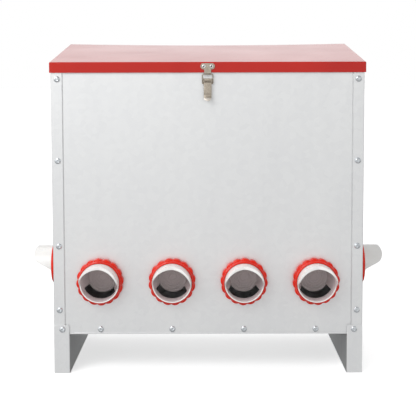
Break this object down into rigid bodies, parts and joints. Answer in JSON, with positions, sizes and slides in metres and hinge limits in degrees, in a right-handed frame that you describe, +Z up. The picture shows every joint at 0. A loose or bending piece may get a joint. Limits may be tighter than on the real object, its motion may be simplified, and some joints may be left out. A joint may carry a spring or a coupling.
{
  "type": "poultry feeder",
  "caption": "Free-standing gravity poultry feeder: sheet-steel hopper on folded legs, hinged sloped lid with toggle latch, and hooded screw-in feeding ports.",
  "frame": {"origin": "on the floor, under the middle of the overall bounding box", "axes": "+X to the right seen from the front, along the longest extent; +Y to the back, the shortest extent; +Z up. The front faces -Y"},
  "size_m": [0.6472, 0.3273, 0.584],
  "materials": {
    "galvanised_steel": "satin",
    "red_lid_paint": "gloss",
    "white_port_plastic": "gloss",
    "red_nut_plastic": "satin",
    "zinc_hardware": "satin",
    "plated_latch_steel": "satin"
  },
  "bodies": {
    "hopper": {"back_left_fold_screw_1": "zinc_hardware", "back_left_fold_screw_2": "zinc_hardware", "back_left_fold_screw_3": "zinc_hardware", "back_left_fold_screw_4": "zinc_hardware", "back_left_leg_screw": "zinc_hardware", "back_panel": "galvanised_steel", "back_right_fold_screw_1": "zinc_hardware", "back_right_fold_screw_2": "zinc_hardware", "back_right_fold_screw_3": "zinc_hardware", "back_right_fold_screw_4": "zinc_hardware", "back_right_leg_screw": "zinc_hardware", "bottom_pan": "galvanised_steel", "front_bottom_screw_1": "zinc_hardware", "front_bottom_screw_2": "zinc_hardware", "front_bottom_screw_3": "zinc_hardware", "front_bottom_screw_4": "zinc_hardware", "front_left_fold_screw_1": "zinc_hardware", "front_left_fold_screw_2": "zinc_hardware", "front_left_fold_screw_3": "zinc_hardware", "front_left_fold_screw_4": "zinc_hardware", "front_left_leg_screw": "zinc_hardware", "front_panel": "galvanised_steel", "front_port_1_body": "white_port_plastic", "front_port_1_nut": "red_nut_plastic", "front_port_2_body": "white_port_plastic", "front_port_2_nut": "red_nut_plastic", "front_port_3_body": "white_port_plastic", "front_port_3_nut": "red_nut_plastic", "front_port_4_body": "white_port_plastic", "front_port_4_nut": "red_nut_plastic", "front_right_fold_screw_1": "zinc_hardware", "front_right_fold_screw_2": "zinc_hardware", "front_right_fold_screw_3": "zinc_hardware", "front_right_fold_screw_4": "zinc_hardware", "front_right_leg_screw": "zinc_hardware", "latch_base": "plated_latch_steel", "latch_pin": "plated_latch_steel", "left_hinge_body_leaf": "zinc_hardware", "left_hinge_pin": "zinc_hardware", "left_leg_stand": "galvanised_steel", "left_port_body": "white_port_plastic", "left_port_nut": "red_nut_plastic", "left_side_panel": "galvanised_steel", "right_hinge_body_leaf": "zinc_hardware", "right_hinge_pin": "zinc_hardware", "right_leg_stand": "galvanised_steel", "right_port_body": "white_port_plastic", "right_port_nut": "red_nut_plastic", "right_side_panel": "galvanised_steel"},
    "lid": {"lid": "red_lid_paint", "latch_catch": "plated_latch_steel", "left_catch_rivet": "zinc_hardware", "right_catch_rivet": "zinc_hardware", "left_hinge_lid_leaf": "zinc_hardware", "right_hinge_lid_leaf": "zinc_hardware"},
    "latch_lever": {"latch_lever": "plated_latch_steel"},
    "latch_bail": {"latch_bail": "plated_latch_steel"}
  },
  "joints": [
    {"name": "lid_hinge", "type": "hinge", "parent": "hopper", "child": "lid", "pos_m": [0, 0.16085, 0.5655], "axis": [-1, 0, 0], "range_deg": [0, 105]},
    {"name": "latch_lever_hinge", "type": "hinge", "parent": "hopper", "child": "latch_lever", "pos_m": [0, -0.11555, 0.511], "axis": [-1, 0, 0], "range_deg": [0, 140]},
    {"name": "latch_bail_hinge", "type": "hinge", "parent": "latch_lever", "child": "latch_bail", "pos_m": [0, -0.11465, 0.5065], "axis": [-1, 0, 0], "range_deg": [-147, 0]}
  ],
  "couplings": [
    {"joint": "latch_bail_hinge", "follows": "latch_lever_hinge", "ratio": -1.05}
  ]
}
